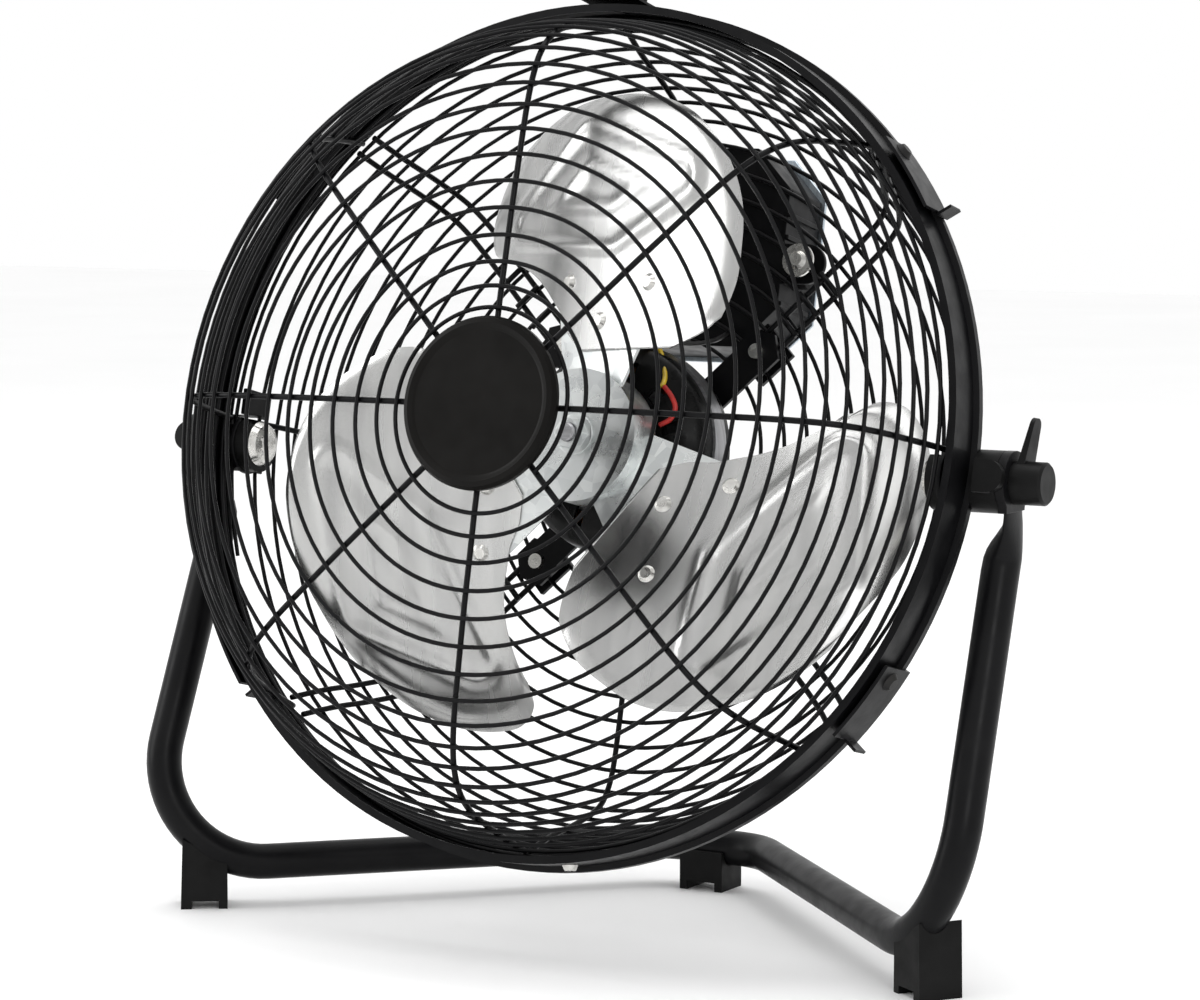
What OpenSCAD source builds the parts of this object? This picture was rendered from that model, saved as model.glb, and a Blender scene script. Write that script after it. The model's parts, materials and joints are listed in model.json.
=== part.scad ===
// Round high-velocity floor fan on a bent tube stand.
// All sizes in millimetres. +Z is up, the fan blows towards -Y, +X is the right side seen from the front.
// Origin: on the floor, at the middle of the fan's footprint box.

/* [Cage] */
// radius of the outermost turn of guard wire
cage_r = 182; // [170:1:200]
// thickness of the guard ring wire
ring_wire = 2.0; // [1.6:0.1:2.6]
// thickness of the guard spoke wire
spoke_wire = 2.8; // [2.2:0.1:3.4]
// spacing of the wire turns on the flat face
face_pitch = 11.2; // [9:0.1:12]
// spacing of the wire turns on the curved side
side_pitch = 8.7; // [7:0.1:10]
// radius of the round cap in the middle of the front guard
badge_r = 36.5; // [30:0.5:40]

/* [Blades] */
// radius of the blade tips
blade_r = 152.5; // [140:0.5:155]
// angle of the blades to the plane of the fan
blade_pitch = 20; // [16:1:24]
// thickness of the blade sheet
blade_t = 1.2; // [0.8:0.1:2]

/* [Stand] */
// height of the tilt axis above the floor
pivot_h = 208; // [205:1:230]
// upward tilt of the head as it is shown
head_tilt = 13.3; // [0:0.1:20]
// outside diameter of the stand tube
tube_d = 16; // [14:0.5:18]
// wall of the stand tube
tube_wall = 1.4; // [1:0.1:2]
// distance from the middle to each upright tube at the foot
stand_half = 198.5; // [196:0.5:206]

/* [Motor] */
// radius of the motor shells
motor_r = 46; // [40:1:50]
// diameter of the motor shaft
shaft_d = 8; // [6:0.5:10]

/* [Hidden] */
$fn = 64;
eps = 0.01;
run_gap = 0.05;
// shift that puts the middle of the footprint box over the origin
centre_x = -4.9;
centre_y = -15.65;
axis_rise = 10;
// guard profile, measured from the face plane backwards
face_y = -85.3;
wall_lean = 14.6;
corner_r = 35;
corner_at = cage_r - 19;
corner_dip = 4;
turn_angle = 90 - wall_lean;
corner_run = corner_r * tan(turn_angle / 2);
corner_len = corner_r * turn_angle * PI / 180;
first_turn_r = 36.4;
face_turns = 8;
// rear guard profile
rear_face_y = 62;
rear_corner_r = 22;
rear_corner_at = cage_r - 17.5;
rear_run = rear_corner_r * tan(turn_angle / 2);
rear_corner_len = rear_corner_r * turn_angle * PI / 180;
rear_first_r = 47.6;
rear_pitch = face_pitch - 0.4;
rear_face_end = 9;
rear_turns = 15.875;
face_turns_end = 10;
front_turns = 19;
spoke_under = (ring_wire + spoke_wire) / 2 + 0.05;
// faces that clamp the round cap to the guard
plate_y = face_y + spoke_under + 0.2 + spoke_wire / 2;
// rim band
band_front = -26;
band_back = -4.5;
band_r = 185.5;
bead_r = 188;
lip_r = 182.2;
rim_ring_r = 183.15;
front_ring_y = -9.4;
rear_ring_y = -7.0;
// middle of each clip, and the way to its screw
clips = [[37, 1], [143, -1], [214, -1], [326, 1]];
clip_in = bead_r + 0.1;
clip_out = clip_in + 1.5;
screw_angle = 278;
// motor
motor_front = 17;
motor_back = 56;
shaft_r = shaft_d / 2;
bearing_r = 9;
stator_r = motor_r + 1.2;
core_r = 24;
// hub and blades
hub_y = -1.5;
camber_r = 400;
rivets = [[-22, 69], [30, 67], [2, 51]];
arm_t = 1.6;
// control box
box_z = 98;
box_w = 104;
box_h = 90;
box_front = 65.5;
box_back = 98;
// pivots
bracket_in = 173.5;
bracket_out = 175.5;
boss_out = 198.9;
tab_in = 199;
tab_out = 203;
knob_in = 203.1;
knob_out = 217;
bolt_r = 3;
// stand path
top_z = 174;
top_x = 194.5;
top_y = 6;
base_z = 19.5;
front_y = -57;
rear_x = 26;
rear_y = 120;
front_bend = 45;
front_foot_l = 20;
front_foot_w = 20;
rear_bend = 30;

// ---------- placing helpers ----------
module on_stand() { translate([centre_x, centre_y, 0]) children(); }
module head() { translate([centre_x, centre_y, pivot_h]) rotate([-head_tilt, 0, 0]) children(); }
module fan() { head() translate([0, 0, axis_rise]) children(); }
// a profile of (radius, depth) points turned about the fan's axis
module turned(a = 360) { rotate([-90, 0, 0]) rotate_extrude(angle = a, $fn = 128) children(); }
// drawing plane seen from the front: x right, y up, z towards the viewer
module face_frame() { rotate([90, 0, 0]) children(); }
module mirrored_x() { children(); mirror([1, 0, 0]) children(); }

// ---------- guard profile ----------
// distance along the profile for a count of turns
function along(u) = u <= face_turns ? first_turn_r + face_pitch * u
 : first_turn_r + face_pitch * face_turns + side_pitch * (u - face_turns);
// radius and height on a profile made of a flat face, a round corner and a leaning wall
function prof(s, at, run, len, rad, dip) =
 let (flat_end = at - run)
 s <= flat_end ? [s, -dip * (s / flat_end) * (s / flat_end)]
 : s <= flat_end + len
 ? let (a = (s - flat_end) / rad * 180 / PI) [flat_end + rad * sin(a), -dip - rad * (1 - cos(a))]
 : let (w = s - flat_end - len, x0 = flat_end + rad * sin(turn_angle), z0 = -dip - rad * (1 - cos(turn_angle)))
 [x0 + w * cos(turn_angle), z0 - w * sin(turn_angle)];
function front_prof(s) = prof(s, corner_at, corner_run, corner_len, corner_r, corner_dip);
function rear_prof(s) = prof(s, rear_corner_at, rear_run, rear_corner_len, rear_corner_r, 0);

// round wire swept along a list of points in the plane of radius and height
function wire_tangent(p, i) = unit(p[min(i + 1, len(p) - 1)] - p[max(i - 1, 0)]);
module wire_sweep(p, d, sides) {
 n = len(p);
 points = [for (i = [0:n - 1]) let (t = wire_tangent(p, i)) for (j = [0:sides - 1])
 let (a = 360 * j / sides, across = d / 2 * cos(a), side = -d / 2 * sin(a))
 [p[i][0] - t[1] * across, side, p[i][1] + t[0] * across]];
 walls = [for (i = [0:n - 2]) for (j = [0:sides - 1]) let (k = (j + 1) % sides)
 each [[i * sides + j, (i + 1) * sides + j, (i + 1) * sides + k], [i * sides + j, (i + 1) * sides + k, i * sides + k]]];
 first_cap = [[for (j = [0:sides - 1]) j]];
 last_cap = [[for (j = [sides - 1:-1:0]) (n - 1) * sides + j]];
 polyhedron(points = points, faces = concat(walls, first_cap, last_cap));
}
// centre line of a spoke that lies under the ring wire, leaves the wall after wall_end and meets the rim ring
function spoke_line(at, run, rad, dip, inner, wall_end, last, under, inset) =
 let (flat_end = at - run, c = [flat_end, -dip - rad], r_end = rad - under - inset)
 concat([[inner, -dip * (inner / flat_end) * (inner / flat_end) - under]],
 [for (f = [0.45, 0.75]) [flat_end * f, -dip * f * f - under]],
 [for (i = [0:6]) let (a = turn_angle * i / 6, r2 = rad - under - inset * i / 6) [c[0] + r2 * sin(a), c[1] + r2 * cos(a)]],
 [[c[0] + r_end * sin(turn_angle) + wall_end * cos(turn_angle), c[1] + r_end * cos(turn_angle) - wall_end * sin(turn_angle)]],
 [last]);
module wire_ring(r, z, d) { translate([0, 0, z]) rotate_extrude($fn = 128) translate([r, 0]) circle(d = d, $fn = 16); }

// ---------- cage ----------
// wire wound as a spiral from turn first to turn last, steps pieces a turn
module coil(front, first, last, steps, start, d, sides) {
 n = round((last - first) * steps);
 line = [for (i = [0:n]) let (u = first + i / steps)
 front ? front_prof(along(u)) : rear_prof(rear_first_r + rear_pitch * u)];
 points = [for (i = [0:n]) for (j = [0:sides - 1])
 let (t = start + 360 * (first + i / steps), a = 360 * j / sides, r = line[i][0] + d / 2 * cos(a))
 [r * cos(t), r * sin(t), line[i][1] - d / 2 * sin(a)]];
 walls = [for (i = [0:n - 1]) for (j = [0:sides - 1]) let (k = (j + 1) % sides)
 each [[i * sides + j, (i + 1) * sides + j, (i + 1) * sides + k], [i * sides + j, (i + 1) * sides + k, i * sides + k]]];
 first_cap = [[for (j = [0:sides - 1]) j]];
 last_cap = [[for (j = [sides - 1:-1:0]) n * sides + j]];
 polyhedron(points = points, faces = concat(walls, first_cap, last_cap));
}
module front_place() { color([0.05, 0.05, 0.05]) fan() translate([0, face_y, 0]) face_frame() children(); }
module rear_place() { color([0.05, 0.05, 0.05]) fan() translate([0, rear_face_y, 0]) rotate([-90, 0, 0]) children(); }
module front_grille() { front_place() coil(true, 0.25, face_turns_end, 32, 315, ring_wire, 5); }
module front_side_wire() { front_place() coil(true, face_turns_end, front_turns, 40, 315, ring_wire, 5); }
module front_spokes() {
 line = spoke_line(corner_at, corner_run, corner_r, corner_dip, 27.3, 43, [182.2, -75.7], spoke_under, 0);
 front_place() {
 for (k = [0:7]) rotate([0, 0, 45 * k]) wire_sweep(line, spoke_wire, 10);
 wire_ring(27, line[0][1], spoke_wire);
 wire_ring(rim_ring_r, face_y - front_ring_y, 2);
 }
}
module rear_grille() {
 rear_place() for (k = [0:rear_face_end - 1]) wire_ring(rear_first_r + rear_pitch * (k + 0.4), 0, ring_wire);
}
module rear_side_wire() { rear_place() coil(false, rear_face_end, rear_turns, 40, 45, ring_wire, 5); }
module rear_spokes() {
 last = [180.65, -69.6];
 single = spoke_line(rear_corner_at, rear_run, rear_corner_r, 0, 50, 46.5, last, spoke_under, 0);
 paired = spoke_line(rear_corner_at, rear_run, rear_corner_r, 0, 50, 46.5, last, spoke_under, 0.42);
 rear_place() {
 for (k = [0:3]) rotate([0, 0, 90 * k]) wire_sweep(single, spoke_wire, 10);
 for (k = [0:3]) for (s = [-1, 1]) rotate([0, 0, 45 + 90 * k]) translate([0, s * 5, 0]) wire_sweep(paired, spoke_wire, 10);
 }
}
module rear_ring() { rear_place() wire_ring(rim_ring_r, rear_ring_y - rear_face_y, 2); }

module rim_band() {
 color([0.07, 0.07, 0.07]) fan() turned() polygon([
 [lip_r, band_front], [band_r, band_front], [band_r, band_back - 4], [bead_r, band_back - 3.5],
 [bead_r, band_back], [lip_r, band_back], [lip_r, band_back - 1.2], [band_r - 1.2, band_back - 1.2],
 [band_r - 1.2, band_front + 1.2], [lip_r, band_front + 1.2]]);
}
module band_clips() {
 color([0.07, 0.07, 0.07]) fan() for (c = clips) {
 // curved plate over the band with a lip behind it
 rotate([0, -c[0] - 5.5, 0]) turned(11) polygon([[clip_in, -25], [clip_out, -25], [clip_out, -2.8], [184.6, -2.8],
 [184.6, -4.3], [clip_in, -4.3]]);
 // bent tip at the far end
 rotate([0, -c[0] + c[1] * 5.5, 0]) translate([clip_in + 0.3, -13, c[1] > 0 ? -1.3 : 0]) cube([7, 10, 1.3]);
 }
}
module clip_screws() {
 color([0.12, 0.12, 0.12]) fan() for (c = clips)
 rotate([0, -c[0] - c[1] * 3.6, 0]) translate([clip_out + 0.02, band_front + 11, 0]) rotate([0, 90, 0])
 cylinder(r1 = 4.2, r2 = 2.6, h = 2.2);
}
module band_buckle() {
 color([0.07, 0.07, 0.07]) fan() {
 translate([-9, band_front - 0.5, bead_r + 0.05]) cube([18, 22, 2.2]);
 translate([-14, band_front + 2, bead_r + 0.05]) cube([28, 17, 1.0]);
 for (s = [-1, 1]) translate([s * 11.6, band_front + 11, bead_r + 1]) cylinder(r = 2.4, h = 1.4);
 }
}
module band_screw() {
 color([0.75, 0.75, 0.73]) fan() rotate([0, -screw_angle, 0])
 translate([band_r + 0.02, band_front + 11, 0]) rotate([0, 90, 0]) difference() {
 cylinder(r1 = 3.6, r2 = 2.4, h = 2.2);
 translate([-2, -0.4, 1.4]) cube([4, 0.8, 2]);
 translate([-0.4, -2, 1.4]) cube([0.8, 4, 2]);
 }
}

// ---------- badge ----------
module badge_cap() {
 color([0.03, 0.03, 0.03]) fan() turned() polygon([
 [0, -91], [badge_r - 6, -91], [badge_r - 5, -91.4], [badge_r - 3.2, -92.4], [badge_r - 1.2, -91.6], [badge_r, -89.6],
 [badge_r, -87.4], [badge_r - 1.6, -87.4], [badge_r - 1.6, -89], [badge_r - 3.2, -90.4], [badge_r - 5.6, -89.4],
 [8, -89.4], [8, plate_y - 0.02], [2.1, plate_y - 0.02], [2.1, -90], [0, -90]]);
}
module badge_plate() {
 color([0.1, 0.1, 0.1]) fan() turned() polygon([[2.1, plate_y], [32, plate_y], [32, plate_y + 1.2], [2.1, plate_y + 1.2]]);
}
module badge_screw() {
 color([0.7, 0.7, 0.7]) fan() turned() polygon([
 [0, -89.9], [2.05, -89.9], [2.05, plate_y + 1.22], [4.5, plate_y + 1.22], [3.6, plate_y + 3.4], [0, plate_y + 4]]);
}

// ---------- rotor ----------
// outline of a blade, radius upwards
module blade_outline() {
 difference() {
 intersection() {
 hull() {
 translate([-84, 99]) circle(r = 14);
 translate([-45, 105]) circle(r = 48);
 translate([-10, 100]) circle(r = 54);
 translate([25, 94]) circle(r = 52);
 translate([58, 57]) circle(r = 18);
 translate([-2, 48]) circle(r = 11);
 }
 circle(r = blade_r, $fn = 128);
 }
 // hollow of the leading edge
 translate([-80, 20]) circle(r = 63);
 }
}
// curved sheet shell seen from the front, bulging forwards
module sheet(t, off) {
 translate([0, 0, -camber_r - off]) rotate([90, 0, 180]) translate([0, 0, -10]) difference() {
 cylinder(r = camber_r, h = 220, $fn = 180);
 translate([0, 0, -1]) cylinder(r = camber_r - t, h = 222, $fn = 180);
 }
}
module blade_place(k) {
 fan() translate([0, hub_y, 0]) face_frame() rotate([0, 0, 120 * k]) rotate([0, -blade_pitch, 0]) children();
}
module blade() {
 intersection() {
 sheet(blade_t, 0);
 translate([0, 0, -40]) linear_extrude(60) blade_outline();
 }
}
module arm_outline() {
 hull() {
 translate([-14, 26]) circle(r = 6);
 translate([14, 26]) circle(r = 6);
 for (p = rivets) translate(p) circle(r = 9);
 }
}
module blade_1() { color([0.82, 0.83, 0.84]) blade_place(0) blade(); }
module blade_2() { color([0.82, 0.83, 0.84]) blade_place(1) blade(); }
module blade_3() { color([0.82, 0.83, 0.84]) blade_place(2) blade(); }
module hub_spider() {
 color([0.68, 0.7, 0.7]) {
 for (k = [0:2]) blade_place(k) intersection() {
 sheet(arm_t, blade_t + 0.02);
 translate([0, 0, -20]) linear_extrude(40) arm_outline();
 }
 fan() translate([0, hub_y, 0]) face_frame() difference() {
 translate([0, 0, -12]) cylinder(r = 29, h = 19);
 translate([0, 0, -13]) cylinder(r = 26.5, h = 18);
 translate([0, 0, -20]) cylinder(r = shaft_r + 0.02, h = 40);
 }
 }
}
module blade_rivets() {
 color([0.8, 0.8, 0.8]) for (k = [0:2]) blade_place(k) for (p = rivets)
 translate([p[0], p[1], camber_sag(p[0])]) rotate([0, asin(p[0] / camber_r), 0]) translate([0, 0, 0.06])
 cylinder(r1 = 3.8, r2 = 2.4, h = 1.6, $fn = 32);
}
function camber_sag(x) = sqrt(camber_r * camber_r - x * x) - camber_r;
module hub_nut() {
 color([0.6, 0.6, 0.6]) fan() translate([0, hub_y, 0]) face_frame() difference() {
 union() {
 translate([0, 0, 7.02]) cylinder(r = 9, h = 1.4);
 translate([0, 0, 8.42]) cylinder(r = 7.2, h = 5.2, $fn = 6);
 }
 translate([0, 0, 6]) cylinder(r = shaft_r + 0.02, h = 20);
 }
}
module motor_shaft() {
 color([0.75, 0.75, 0.76]) fan() turned() polygon([
 [0, hub_y - 16], [shaft_r - 0.8, hub_y - 16], [shaft_r, hub_y - 15.2], [shaft_r, motor_back + 1.5], [0, motor_back + 1.5]]);
}
module rotor_core() {
 color([0.4, 0.4, 0.42]) fan() turned() polygon([
 [shaft_r + 0.02, 28], [core_r - 3, 28], [core_r - 3, 30], [core_r, 30], [core_r, 44], [core_r - 3, 44], [core_r - 3, 46],
 [shaft_r + 0.02, 46]]);
}

// ---------- motor ----------
module motor_front_shell() {
 color([0.04, 0.04, 0.04]) fan() difference() {
 turned() polygon([
 [bearing_r + 0.02, motor_front], [14, motor_front - 2], [18, motor_front], [motor_r - 8, motor_front + 1],
 [motor_r - 1, motor_front + 6], [motor_r, motor_front + 8], [motor_r, 31.9],
 [motor_r - 1.6, 31.9], [motor_r - 1.6, motor_front + 9], [motor_r - 9, motor_front + 2.8], [14, motor_front + 2.4],
 [14, motor_front + 7], [bearing_r + 0.02, motor_front + 7]]);
 for (a = [0:30:330]) rotate([0, a + 15, 0]) translate([28, motor_front - 4, -2.4]) cube([10, 8, 4.8]);
 }
}
module motor_rear_shell() {
 color([0.04, 0.04, 0.04]) fan() difference() {
 turned() polygon([
 [bearing_r + 0.02, motor_back - 7], [14, motor_back - 7], [14, motor_back - 2.4], [motor_r - 9, motor_back - 2.8],
 [motor_r - 1.6, motor_back - 9], [motor_r - 1.6, 42.1], [motor_r, 42.1], [motor_r, motor_back - 8],
 [motor_r - 1, motor_back - 6], [motor_r - 8, motor_back - 1], [18, motor_back], [bearing_r + 0.02, motor_back]]);
 for (a = [0:30:330]) rotate([0, a + 15, 0]) translate([26, motor_back - 4, -2]) cube([10, 8, 4]);
 }
}
module stator_core() {
 color([0.5, 0.5, 0.52]) fan() turned() polygon([[core_r + 0.5, 32], [stator_r, 32], [stator_r, 42], [core_r + 0.5, 42]]);
}
module stator_windings() {
 color([0.72, 0.4, 0.18]) fan() {
 turned() translate([35, 28.5]) circle(r = 3.2, $fn = 24);
 turned() translate([35, 45.5]) circle(r = 3.2, $fn = 24);
 }
}
module bearing_ring(y) {
 fan() turned() polygon([[shaft_r + run_gap, y], [bearing_r, y], [bearing_r, y + 7], [shaft_r + run_gap, y + 7]]);
}
module front_bearing() { color([0.62, 0.5, 0.3]) bearing_ring(motor_front); }
module rear_bearing() { color([0.62, 0.5, 0.3]) bearing_ring(motor_back - 7); }
// four armed bracket behind the motor that hangs it on the paired guard wires
module motor_bracket() {
 color([0.06, 0.06, 0.06]) fan() {
 for (k = [0:3]) rotate([0, 45 + 90 * k, 0]) {
 translate([12, motor_back + 0.05, -8]) cube([54, 2.05, 16]);
 translate([70, motor_back + 0.05, 0]) rotate([-90, 0, 0]) cylinder(r = 11, h = 2.05, $fn = 6);
 }
 turned() polygon([[12, motor_back + 0.05], [30, motor_back + 0.05], [30, motor_back + 2.1], [12, motor_back + 2.1]]);
 }
}
module bracket_clamps() {
 color([0.08, 0.08, 0.08]) fan() for (k = [0:3]) rotate([0, 45 + 90 * k, 0]) difference() {
 translate([60, rear_face_y + 1.2, -10]) cube([20, 2.4, 20]);
 translate([70, rear_face_y, 0]) rotate([-90, 0, 0]) cylinder(r = 2.1, h = 5);
 }
}
module bracket_bolts() {
 color([0.75, 0.75, 0.75]) fan() for (k = [0:3]) rotate([0, 45 + 90 * k, 0]) {
 translate([70, motor_back - 2, 0]) rotate([-90, 0, 0]) cylinder(r = 3.4, h = 2);
 translate([70, motor_back + 2.3, 0]) rotate([-90, 0, 0]) cylinder(r = 2, h = rear_face_y + 3.4 - motor_back - 2.3 + 0.3);
 translate([70, rear_face_y + 3.65, 0]) rotate([-90, 0, 0]) cylinder(r = 3.8, h = 3, $fn = 6);
 }
}

// ---------- controls ----------
module box_outline(grow) {
 c = 18;
 w = box_w / 2 + grow;
 h = box_h / 2 + grow;
 polygon([[-w, -h + c], [-w + c, -h], [w - c, -h], [w, -h + c], [w, h - c], [w - c, h], [-w + c, h], [-w, h - c]]);
}
module box_place(y) { fan() translate([0, y, box_z]) rotate([-90, 0, 0]) mirror([0, 1, 0]) children(); }
module control_box() {
 color([0.04, 0.04, 0.04]) {
 difference() {
 union() {
 box_place(box_front) linear_extrude(box_back - box_front) box_outline(0);
 for (k = [0:5]) fan() for (s = [-1, 1])
 translate([s > 0 ? box_w / 2 - 0.4 : -box_w / 2 - 1.6, box_front, box_z - 26 + k * 10]) cube([2, 28, 2.2]);
 }
 box_place(box_front + 2.4) linear_extrude(box_back - box_front) box_outline(-2.4);
 fan() translate([40, 82, box_z - 8]) rotate([0, 90, 0]) cylinder(r = 5.02, h = 30);
 }
 // ears held against the guard wires
 fan() for (s = [-1, 1]) difference() {
 hull() {
 translate([s * 50, box_front, box_z - 7]) rotate([-90, 0, 0]) cylinder(r = 9, h = 2.4);
 translate([s * 64, box_front, box_z - 7]) rotate([-90, 0, 0]) cylinder(r = 9, h = 2.4);
 }
 translate([s * 64, box_front - 1, box_z - 7]) rotate([-90, 0, 0]) cylinder(r = 2.1, h = 5);
 translate([s * 40 - 11.9, box_front - 1, box_z - 30]) cube([23.8, 5, 60]);
 }
 }
}
module control_cover() {
 color([0.62, 0.64, 0.67]) difference() {
 box_place(box_back + 0.02) linear_extrude(1.6) box_outline(2);
 fan() translate([0, box_back - 1, box_z]) rotate([-90, 0, 0]) cylinder(r = 4.2, h = 5);
 }
}
module box_washers() {
 color([0.78, 0.78, 0.76]) fan() for (s = [-1, 1]) {
 translate([s * 64, rear_face_y - 5.4, box_z - 7]) rotate([-90, 0, 0]) cylinder(r = 7.4, h = 1.4);
 translate([s * 64, rear_face_y - 7.6, box_z - 7]) rotate([-90, 0, 0]) cylinder(r1 = 2.8, r2 = 4.2, h = 2.2);
 translate([s * 64, rear_face_y - 4, box_z - 7]) rotate([-90, 0, 0]) cylinder(r = 2, h = 11);
 }
}
module speed_switch() {
 color([0.85, 0.83, 0.75]) fan() {
 translate([-13, box_back - 21, box_z - 13]) cube([26, 18, 26]);
 translate([0, box_back - 3.1, box_z]) rotate([-90, 0, 0]) cylinder(r = 3, h = 14);
 }
}
module capacitor() {
 color([0.1, 0.1, 0.12]) fan() translate([-40, box_front + 3, box_z - 32]) cube([34, 14, 16]);
}
module cord_gland() {
 color([0.05, 0.05, 0.05]) fan() translate([box_w / 2 - 3.6, 82, box_z - 8]) rotate([0, 90, 0]) difference() {
 union() {
 cylinder(r = 5, h = 8);
 translate([0, 0, 5.3]) cylinder(r = 7.5, h = 4.6);
 translate([0, 0, -2]) cylinder(r = 7, h = 2.9);
 }
 translate([0, 0, -3]) cylinder(r = 3.2, h = 16);
 }
}
module speed_knob() {
 color([0.05, 0.05, 0.05]) fan() translate([0, box_back + 2, box_z]) rotate([-90, 0, 0]) difference() {
 union() {
 cylinder(r1 = 16, r2 = 15, h = 5);
 translate([0, 0, 5]) cylinder(r1 = 12.4, r2 = 11.4, h = 11);
 translate([-2.2, -15.5, 5]) cube([4.4, 31, 11]);
 }
 translate([0, 0, -1]) cylinder(r = 3 + run_gap, h = 11);
 translate([-0.7, 6, 15.4]) cube([1.4, 10, 2]);
 }
}

// ---------- tilt pivots ----------
// room for the guard wires that pass the pivots
module wire_room() {
 translate([160, -9.5, axis_rise - 2.2]) cube([26, 34, 4.4]);
}
module ring_room() {
 translate([0, 0, axis_rise]) turned() for (p = [[179.5, 4.34], [178.16, 9.57]]) translate(p) circle(d = ring_wire + 0.5, $fn = 24);
}
module pivot_brackets() {
 color([0.07, 0.07, 0.07]) head() mirrored_x() difference() {
 union() {
 translate([bracket_in, -8, -12.5]) cube([2, 20, 36.5]);
 translate([bracket_in, 0, 0]) rotate([0, 90, 0]) cylinder(r = 14, h = 2);
 }
 translate([bracket_in - 1, 0, 0]) rotate([0, 90, 0]) cylinder(r = bolt_r + 0.02, h = 5);
 wire_room();
 }
}
module pivot_bosses() {
 color([0.04, 0.04, 0.04]) head() mirrored_x() {
 difference() {
 translate([bracket_out + 0.02, 0, 0]) rotate([0, 90, 0]) cylinder(r = 12.9, h = boss_out - bracket_out - 0.02);
 translate([bracket_out - 1, 0, 0]) rotate([0, 90, 0]) cylinder(r = bolt_r + 0.02, h = 30);
 // room for the rim band
 translate([0, 0, axis_rise]) turned() polygon([[170, -40], [bead_r + 0.1, -40], [bead_r + 0.1, band_back + 0.1], [170, band_back + 0.1]]);
 wire_room();
 ring_room();
 }
 // lug with a round face that shows at the front
 difference() {
 union() {
 translate([191, -17, -6.6]) cube([6.2, 6.5, 13.2]);
 translate([197.2, -13.15, 0]) rotate([90, 0, 0]) cylinder(r = 6.6, h = 3.85);
 }
 translate([bracket_out, 0, 0]) rotate([0, 90, 0]) cylinder(r = 12.92, h = boss_out - bracket_out);
 translate([boss_out, 0, 0]) rotate([0, 90, 0]) cylinder(r = 13.15, h = 20);
 translate([0, 0, axis_rise]) turned() polygon([[170, -40], [bead_r + 0.1, -40], [bead_r + 0.1, band_back + 0.1], [170, band_back + 0.1]]);
 }
 // inner boss that backs the bolt head
 difference() {
 translate([bracket_in - 5.5, 0, 0]) rotate([0, 90, 0]) cylinder(r = 12.9, h = 5.48);
 translate([bracket_in - 12, 0, 0]) rotate([0, 90, 0]) cylinder(r = bolt_r + 0.02, h = 30);
 wire_room();
 }
 }
}
module pivot_bolts() {
 color([0.75, 0.75, 0.74]) head() mirrored_x() {
 translate([bracket_in - 9.9, 0, 0]) rotate([0, 90, 0]) cylinder(r1 = 5.4, r2 = 8.6, h = 1.4);
 translate([bracket_in - 8.5, 0, 0]) rotate([0, 90, 0]) cylinder(r1 = 8.6, r2 = 10.2, h = 2.9);
 translate([bracket_in - 5.6, 0, 0]) rotate([0, 90, 0]) cylinder(r = bolt_r, h = tab_out + 3.5 - bracket_in + 5.6);
 }
 color([0.75, 0.75, 0.74]) head() translate([tab_out + 3.4, 0, 0]) rotate([0, 90, 0]) cylinder(r = bolt_r, h = 6.5);
}
module pivot_nut() {
 color([0.1, 0.1, 0.1]) head() mirror([1, 0, 0]) difference() {
 union() {
 translate([knob_in, 0, 0]) rotate([0, 90, 0]) cylinder(r = 8, h = 1.2);
 translate([knob_in + 1.19, 0, 0]) rotate([0, 90, 0]) cylinder(r = 6.2, h = 3, $fn = 6);
 }
 translate([knob_in - 1, 0, 0]) rotate([0, 90, 0]) cylinder(r = bolt_r + 0.02, h = 8);
 }
}
// cylinder knob with one upright wing
module lock_knob() {
 color([0.04, 0.04, 0.04]) head() difference() {
 union() {
 translate([knob_in, 0, 0]) rotate([0, 90, 0]) cylinder(r = 8.9, h = knob_out - knob_in - 1);
 translate([knob_out - 1.01, 0, 0]) rotate([0, 90, 0]) cylinder(r1 = 8.9, r2 = 7.9, h = 1.01);
 translate([knob_in + 0.9, 0, 0]) rotate([0, 7, 0]) hull() {
 translate([0, 0, 3]) rotate([0, 90, 0]) cylinder(r = 6, h = 3.2, $fn = 32);
 translate([0.9, 0, 23.5]) rotate([0, 90, 0]) cylinder(r = 3.8, h = 2, $fn = 32);
 }
 }
 translate([knob_in - 1, 0, 0]) rotate([0, 90, 0]) cylinder(r = bolt_r + run_gap, h = knob_out - knob_in - 2.5);
 }
}

// ---------- stand ----------
function unit(v) = v / norm(v);
module ring_profile(d, w) {
 difference() {
 circle(d = d, $fn = 48);
 if (w > 0) circle(d = d - 2 * w, $fn = 48);
 }
}
module straight(a, b, d, w) {
 v = b - a;
 translate(a) rotate([0, acos(v[2] / norm(v)), atan2(v[1], v[0])]) linear_extrude(norm(v)) ring_profile(d, w);
}
function bend_gap(p, q, s, r) = r / tan(acos(unit(p - q) * unit(s - q)) / 2);
module bend(p, q, s, r, d, w) {
 a = unit(p - q);
 b = unit(s - q);
 open_a = acos(a * b);
 gap = r / tan(open_a / 2);
 c = q + unit(a + b) * r / sin(open_a / 2);
 ux = unit(q + a * gap - c);
 uz = unit(cross(ux, unit(q + b * gap - c)));
 uy = cross(uz, ux);
 multmatrix([[ux[0], uy[0], uz[0], c[0]], [ux[1], uy[1], uz[1], c[1]], [ux[2], uy[2], uz[2], c[2]], [0, 0, 0, 1]])
 rotate_extrude(angle = 180 - open_a, $fn = 96) translate([r, 0]) ring_profile(d, w);
}
tube_top = [top_x, top_y, top_z];
tube_front = [stand_half, front_y, base_z];
tube_rear = [rear_x, rear_y, base_z];
tube_mid = [0, rear_y, base_z];
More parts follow.
